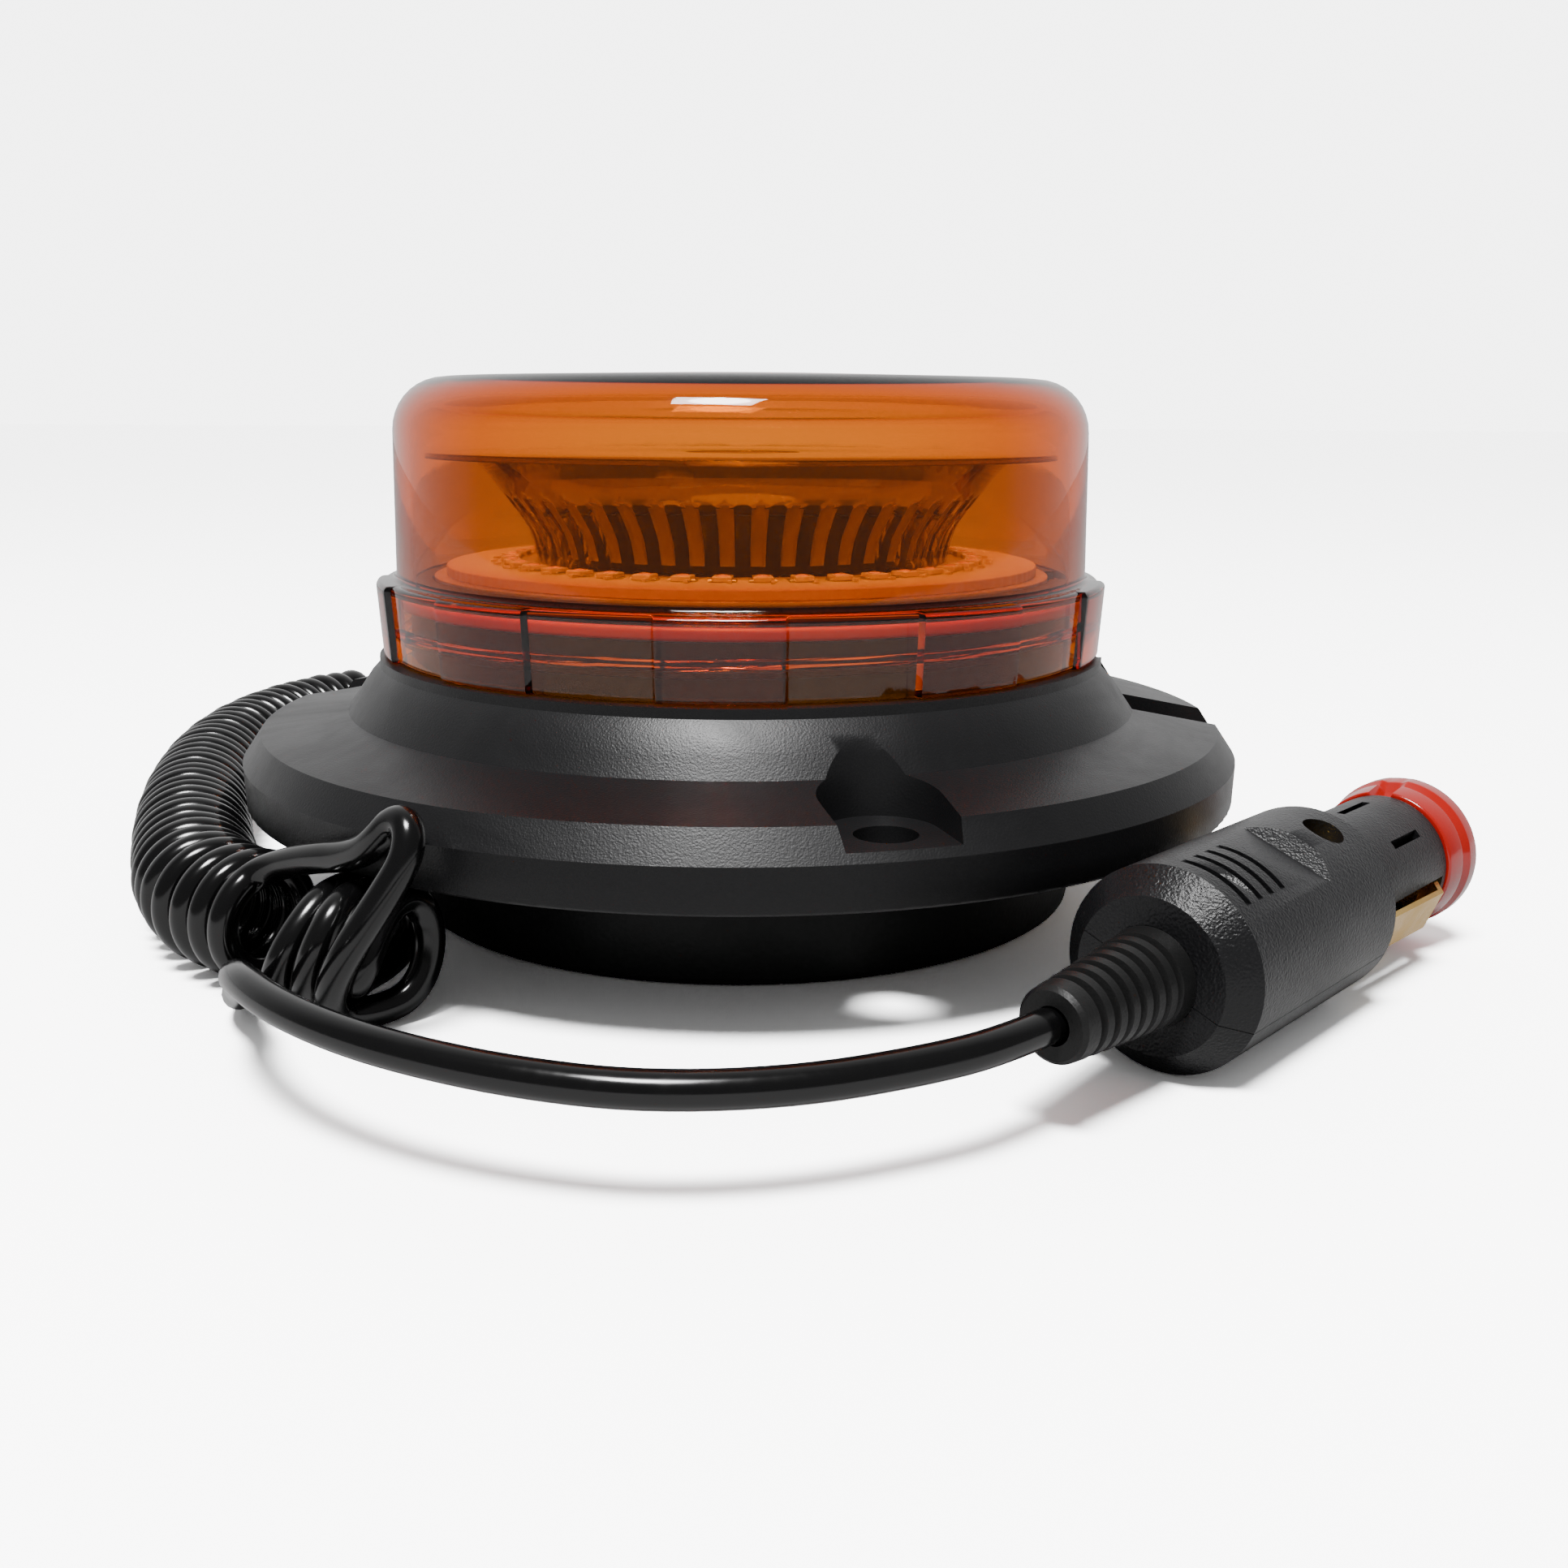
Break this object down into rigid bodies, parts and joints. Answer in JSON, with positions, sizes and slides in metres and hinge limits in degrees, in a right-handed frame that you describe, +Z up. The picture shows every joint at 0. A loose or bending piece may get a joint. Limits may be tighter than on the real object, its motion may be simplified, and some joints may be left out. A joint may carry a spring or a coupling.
{
  "type": "magnetic warning beacon",
  "caption": "Low amber warning beacon with a screw-on dome over a ring of lamps, a magnetic rubber foot, fixing pockets, a curly cord and a two-way vehicle plug.",
  "frame": {"origin": "centre of the underside of the rubber foot", "axes": "+Z up, -Y to the front pocket and the plug lead"},
  "size_m": [0.2196, 0.2379, 0.0834],
  "materials": {
    "black_housing": "fine grain",
    "amber_lens": "clear amber, polished",
    "red_seal": "satin",
    "black_rubber": "matt",
    "clear_plastic": "clear, polished",
    "inner_black": "moulded",
    "white_board": "satin",
    "led_package": "glossy",
    "aluminium_plate": "milled",
    "green_board": "satin",
    "capacitor_sleeve": "satin",
    "steel": "zinc plated",
    "magnet": "sintered",
    "red_wire": "glossy",
    "black_wire": "glossy",
    "cord_sheath": "glossy",
    "plug_black": "fine grain",
    "brass": "bright",
    "fuse_glass": "clear",
    "red_adapter": "glossy"
  },
  "bodies": {
    "root": {"base_plate": "black_housing", "base_screws": "steel", "board_connector": "inner_black", "board_standoffs": "aluminium_plate", "cable_gland": "cord_sheath", "cord_bridge": "cord_sheath", "cord_coil": "cord_sheath", "cord_end_coil": "cord_sheath", "cord_lead": "cord_sheath", "cord_tail": "cord_sheath", "driver_board": "green_board", "driver_capacitors": "capacitor_sleeve", "driver_inductor": "inner_black", "driver_screws": "steel", "foot_bolt": "steel", "foot_nut": "steel", "foot_spacer": "steel", "fuse_holder": "inner_black", "heat_spreader": "aluminium_plate", "housing": "black_housing", "inner_wire_black": "black_wire", "inner_wire_red": "red_wire", "led_board": "white_board", "led_chips": "led_package", "magnet_pot": "steel", "magnet_ring": "magnet", "optic_core": "inner_black", "optic_disc": "clear_plastic", "optic_ring": "clear_plastic", "optic_screws": "steel", "plug_fuse": "fuse_glass", "plug_lower_shell": "plug_black", "plug_screw": "brass", "plug_strain_relief": "cord_sheath", "plug_upper_shell": "plug_black", "rubber_foot": "black_rubber", "tip_spring": "steel"},
    "seal": {"lens_seal": "red_seal"},
    "lens": {"lens_dome": "amber_lens"},
    "adapter": {"adapter_ring": "red_adapter"},
    "tip": {"tip_pin": "brass"},
    "contact_front": {"side_contact_front": "brass"},
    "contact_back": {"side_contact_back": "brass"}
  },
  "joints": [
    {"name": "lens_lift", "type": "slide", "parent": "root", "child": "seal", "axis": [0, 0, 1], "range_m": [0, 0.00451]},
    {"name": "lens_twist", "type": "hinge", "parent": "seal", "child": "lens", "pos_m": [0, 0, 0.045], "axis": [0, 0, 1], "range_deg": [0, 540]},
    {"name": "adapter_pull", "type": "slide", "parent": "root", "child": "adapter", "axis": [0.6921, 0.7218, 0], "range_m": [0, 0.012]},
    {"name": "tip_press", "type": "slide", "parent": "root", "child": "tip", "axis": [-0.6921, -0.7218, 0], "range_m": [0, 0.003], "stiffness_N_per_m": 400, "springref_m": -0.003},
    {"name": "contact_press_front", "type": "slide", "parent": "root", "child": "contact_front", "axis": [-0.6692, 0.6417, 0.3746], "range_m": [0, 0.0016], "stiffness_N_per_m": 600, "springref_m": -0.001},
    {"name": "contact_press_back", "type": "slide", "parent": "root", "child": "contact_back", "axis": [0.6692, -0.6417, -0.3746], "range_m": [0, 0.0016], "stiffness_N_per_m": 600, "springref_m": -0.001}
  ],
  "couplings": [
    {"joint": "lens_lift", "follows": "lens_twist", "m_per_rad": 0.00047746}
  ]
}
